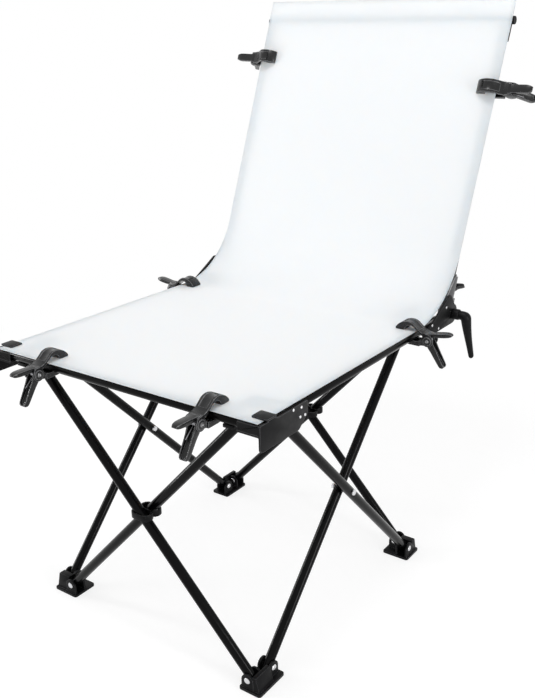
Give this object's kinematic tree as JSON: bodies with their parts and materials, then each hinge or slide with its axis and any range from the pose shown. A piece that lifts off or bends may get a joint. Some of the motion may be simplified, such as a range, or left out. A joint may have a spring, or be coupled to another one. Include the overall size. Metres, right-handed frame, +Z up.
{
  "type": "folding shooting table",
  "caption": "Folding still-life shooting table: scissor-leg base, tube deck, tilting back frame and a translucent sweep sheet held by spring clamps.",
  "frame": {"origin": "middle of the object's box on the floor under it", "axes": "+X along the front rail to the right, +Y to the rear, +Z up"},
  "size_m": [0.749, 0.9728, 1.1431],
  "materials": {
    "black_tube": "black powder coat, semi-gloss",
    "black_moulding": "black moulded plastic, satin",
    "black_plate": "black painted pressed steel",
    "clamp_plastic": "dark grey moulded plastic, satin",
    "zinc_steel": "zinc plated",
    "spring_steel": "drawn spring wire",
    "sheet_pvc": "translucent white, matt"
  },
  "bodies": {
    "foot_front_left": {"foot_front_left": "black_moulding"},
    "deck": {"rail_front": "black_tube", "rail_left": "black_tube", "rail_right": "black_tube", "corner_plate_left": "black_plate", "corner_plate_right": "black_plate", "hinge_bracket_left": "black_plate", "hinge_bracket_right": "black_plate", "sheet_table": "sheet_pvc", "sheet_sweep": "sheet_pvc", "clamp_front_left_lower": "clamp_plastic", "clamp_front_left_spring": "spring_steel", "clamp_front_right_lower": "clamp_plastic", "clamp_front_right_spring": "spring_steel", "clamp_side_left_lower": "clamp_plastic", "clamp_side_left_spring": "spring_steel", "clamp_side_right_lower": "clamp_plastic", "clamp_side_right_spring": "spring_steel"},
    "back_frame": {"socket_left": "black_plate", "socket_right": "black_plate", "upright_left": "black_tube", "upright_right": "black_tube", "elbow_left": "black_moulding", "elbow_right": "black_moulding", "crossbar": "black_tube", "sheet_back": "sheet_pvc", "clamp_back_left_lower": "clamp_plastic", "clamp_back_left_spring": "spring_steel", "clamp_back_right_lower": "clamp_plastic", "clamp_back_right_spring": "spring_steel"},
    "leg_front_inner": {"leg_front_inner": "black_tube"},
    "leg_front_outer": {"leg_front_outer": "black_tube"},
    "foot_front_right": {"foot_front_right": "black_moulding"},
    "leg_right_inner": {"leg_right_inner": "black_tube", "bolt_right": "zinc_steel"},
    "leg_right_outer": {"leg_right_outer": "black_tube"},
    "foot_rear_right": {"foot_rear_right": "black_moulding"},
    "leg_left_outer": {"leg_left_outer": "black_tube", "bolt_left": "zinc_steel"},
    "leg_left_inner": {"leg_left_inner": "black_tube"},
    "foot_rear_left": {"foot_rear_left": "black_moulding"},
    "leg_rear_outer": {"leg_rear_outer": "black_tube"},
    "leg_rear_inner": {"leg_rear_inner": "black_tube"},
    "hub_front_right": {"hub_front_right": "black_moulding"},
    "hub_rear_right": {"hub_rear_right": "black_moulding"},
    "hub_front_left": {"hub_front_left": "black_moulding"},
    "hub_rear_left": {"hub_rear_left": "black_moulding"},
    "coupler_front": {"coupler_front": "black_moulding"},
    "coupler_rear": {"coupler_rear": "black_moulding"},
    "lever_left": {"lever_left": "black_moulding"},
    "knob_left": {"knob_left": "black_moulding"},
    "lever_right": {"lever_right": "black_moulding"},
    "knob_right": {"knob_right": "black_moulding"},
    "clamp_front_left_upper": {"clamp_front_left_upper": "clamp_plastic"},
    "clamp_front_right_upper": {"clamp_front_right_upper": "clamp_plastic"},
    "clamp_side_left_upper": {"clamp_side_left_upper": "clamp_plastic"},
    "clamp_side_right_upper": {"clamp_side_right_upper": "clamp_plastic"},
    "clamp_back_left_upper": {"clamp_back_left_upper": "clamp_plastic"},
    "clamp_back_right_upper": {"clamp_back_right_upper": "clamp_plastic"}
  },
  "joints": [
    {"name": "deck_lift", "type": "slide", "parent": "foot_front_left", "child": "deck", "axis": [0, 0, 1], "range_m": [0, 1.2]},
    {"name": "front_inner_foot", "type": "hinge", "parent": "foot_front_left", "child": "leg_front_inner", "pos_m": [-0.24, -0.35488, 0.022], "axis": [0, -1, 0], "range_deg": [0, 34.02]},
    {"name": "front_cross", "type": "hinge", "parent": "leg_front_inner", "child": "leg_front_outer", "pos_m": [0, -0.36588, 0.277], "axis": [0, 1, 0], "range_deg": [0, 68.02]},
    {"name": "front_outer_foot", "type": "hinge", "parent": "leg_front_outer", "child": "foot_front_right", "pos_m": [0.24, -0.37688, 0.022], "axis": [0, -1, 0], "range_deg": [0, 34.02]},
    {"name": "right_inner_foot", "type": "hinge", "parent": "foot_front_right", "child": "leg_right_inner", "pos_m": [0.245, -0.33588, 0.022], "axis": [1, 0, 0], "range_deg": [0, 34.02]},
    {"name": "right_cross", "type": "hinge", "parent": "leg_right_inner", "child": "leg_right_outer", "pos_m": [0.256, -0.09588, 0.277], "axis": [-1, 0, 0], "range_deg": [0, 68.02]},
    {"name": "right_outer_foot", "type": "hinge", "parent": "leg_right_outer", "child": "foot_rear_right", "pos_m": [0.267, 0.14412, 0.022], "axis": [1, 0, 0], "range_deg": [0, 34.02]},
    {"name": "left_outer_foot", "type": "hinge", "parent": "foot_front_left", "child": "leg_left_outer", "pos_m": [-0.267, -0.33588, 0.022], "axis": [1, 0, 0], "range_deg": [0, 34.02]},
    {"name": "left_cross", "type": "hinge", "parent": "leg_left_outer", "child": "leg_left_inner", "pos_m": [-0.256, -0.09588, 0.277], "axis": [-1, 0, 0], "range_deg": [0, 68.02]},
    {"name": "left_inner_foot", "type": "hinge", "parent": "leg_left_inner", "child": "foot_rear_left", "pos_m": [-0.245, 0.14412, 0.022], "axis": [1, 0, 0], "range_deg": [0, 34.02]},
    {"name": "rear_outer_foot", "type": "hinge", "parent": "foot_rear_left", "child": "leg_rear_outer", "pos_m": [-0.24, 0.18512, 0.022], "axis": [0, -1, 0], "range_deg": [0, 34.02]},
    {"name": "rear_cross", "type": "hinge", "parent": "leg_rear_outer", "child": "leg_rear_inner", "pos_m": [0, 0.17412, 0.277], "axis": [0, 1, 0], "range_deg": [0, 68.02]},
    {"name": "hub_front_right_pin", "type": "hinge", "parent": "leg_front_inner", "child": "hub_front_right", "pos_m": [0.24, -0.35488, 0.532], "axis": [0, 1, 0], "range_deg": [0, 34.02]},
    {"name": "hub_rear_right_pin", "type": "hinge", "parent": "leg_right_inner", "child": "hub_rear_right", "pos_m": [0.245, 0.14412, 0.532], "axis": [-1, 0, 0], "range_deg": [0, 34.02]},
    {"name": "hub_front_left_pin", "type": "hinge", "parent": "leg_front_outer", "child": "hub_front_left", "pos_m": [-0.24, -0.37688, 0.532], "axis": [0, -1, 0], "range_deg": [0, 34.02]},
    {"name": "hub_rear_left_pin", "type": "hinge", "parent": "leg_left_outer", "child": "hub_rear_left", "pos_m": [-0.267, 0.14412, 0.532], "axis": [-1, 0, 0], "range_deg": [0, 34.02]},
    {"name": "coupler_front_turn", "type": "hinge", "parent": "leg_front_inner", "child": "coupler_front", "pos_m": [0, -0.36588, 0.277], "axis": [0, 1, 0], "range_deg": [0, 34.02]},
    {"name": "coupler_rear_turn", "type": "hinge", "parent": "leg_rear_outer", "child": "coupler_rear", "pos_m": [0, 0.17412, 0.277], "axis": [0, 1, 0], "range_deg": [0, 34.02]},
    {"name": "back_tilt", "type": "hinge", "parent": "deck", "child": "back_frame", "pos_m": [0, 0.23612, 0.547], "axis": [1, 0, 0], "range_deg": [-45, 12], "deforming": ["sheet_sweep"]},
    {"name": "lever_left_turn", "type": "hinge", "parent": "deck", "child": "lever_left", "pos_m": [0, 0.23612, 0.547], "axis": [1, 0, 0], "range_deg": [0, 100]},
    {"name": "knob_left_turn", "type": "hinge", "parent": "back_frame", "child": "knob_left", "pos_m": [-0.2875, 0.26459, 0.59479], "axis": [0, 0.9259, -0.3778], "continuous": true},
    {"name": "lever_right_turn", "type": "hinge", "parent": "deck", "child": "lever_right", "pos_m": [0, 0.23612, 0.547], "axis": [1, 0, 0], "range_deg": [0, 100]},
    {"name": "knob_right_turn", "type": "hinge", "parent": "back_frame", "child": "knob_right", "pos_m": [0.2875, 0.26459, 0.59479], "axis": [0, 0.9259, -0.3778], "continuous": true},
    {"name": "clamp_front_left_jaw", "type": "hinge", "parent": "deck", "child": "clamp_front_left_upper", "pos_m": [-0.171, -0.43888, 0.535], "axis": [1, 0, 0], "range_deg": [0, 35], "stiffness_Nm_per_rad": 1, "springref_deg": -57.3, "deforming": ["clamp_front_left_spring"]},
    {"name": "clamp_front_right_jaw", "type": "hinge", "parent": "deck", "child": "clamp_front_right_upper", "pos_m": [0.198, -0.43888, 0.535], "axis": [1, 0, 0], "range_deg": [0, 35], "stiffness_Nm_per_rad": 1, "springref_deg": -57.3, "deforming": ["clamp_front_right_spring"]},
    {"name": "clamp_side_left_jaw", "type": "hinge", "parent": "deck", "child": "clamp_side_left_upper", "pos_m": [-0.327, 0.09712, 0.535], "axis": [0, -1, 0], "range_deg": [0, 35], "stiffness_Nm_per_rad": 1, "springref_deg": -57.3, "deforming": ["clamp_side_left_spring"]},
    {"name": "clamp_side_right_jaw", "type": "hinge", "parent": "deck", "child": "clamp_side_right_upper", "pos_m": [0.327, 0.09712, 0.535], "axis": [0, 1, 0], "range_deg": [0, 35], "stiffness_Nm_per_rad": 1, "springref_deg": -57.3, "deforming": ["clamp_side_right_spring"]},
    {"name": "clamp_back_left_jaw", "type": "hinge", "parent": "back_frame", "child": "clamp_back_left_upper", "pos_m": [-0.327, 0.43345, 1.0173], "axis": [0, -0.3778, -0.9259], "range_deg": [0, 35], "stiffness_Nm_per_rad": 1, "springref_deg": -57.3, "deforming": ["clamp_back_left_spring"]},
    {"name": "clamp_back_right_jaw", "type": "hinge", "parent": "back_frame", "child": "clamp_back_right_upper", "pos_m": [0.327, 0.4138, 0.96916], "axis": [0, 0.3778, 0.9259], "range_deg": [0, 35], "stiffness_Nm_per_rad": 1, "springref_deg": -57.3, "deforming": ["clamp_back_right_spring"]}
  ],
  "couplings": [
    {"joint": "front_inner_foot", "follows": "deck_lift", "rad_per_m": 0.49451},
    {"joint": "front_cross", "follows": "deck_lift", "rad_per_m": 0.98902},
    {"joint": "front_outer_foot", "follows": "deck_lift", "rad_per_m": 0.49451},
    {"joint": "right_inner_foot", "follows": "deck_lift", "rad_per_m": 0.49451},
    {"joint": "right_cross", "follows": "deck_lift", "rad_per_m": 0.98902},
    {"joint": "right_outer_foot", "follows": "deck_lift", "rad_per_m": 0.49451},
    {"joint": "left_outer_foot", "follows": "deck_lift", "rad_per_m": 0.49451},
    {"joint": "left_cross", "follows": "deck_lift", "rad_per_m": 0.98902},
    {"joint": "left_inner_foot", "follows": "deck_lift", "rad_per_m": 0.49451},
    {"joint": "rear_outer_foot", "follows": "deck_lift", "rad_per_m": 0.49451},
    {"joint": "rear_cross", "follows": "deck_lift", "rad_per_m": 0.98902},
    {"joint": "hub_front_right_pin", "follows": "deck_lift", "rad_per_m": 0.49451},
    {"joint": "hub_rear_right_pin", "follows": "deck_lift", "rad_per_m": 0.49451},
    {"joint": "hub_front_left_pin", "follows": "deck_lift", "rad_per_m": 0.49451},
    {"joint": "hub_rear_left_pin", "follows": "deck_lift", "rad_per_m": 0.49451},
    {"joint": "coupler_front_turn", "follows": "deck_lift", "rad_per_m": 0.49451},
    {"joint": "coupler_rear_turn", "follows": "deck_lift", "rad_per_m": 0.49451}
  ]
}
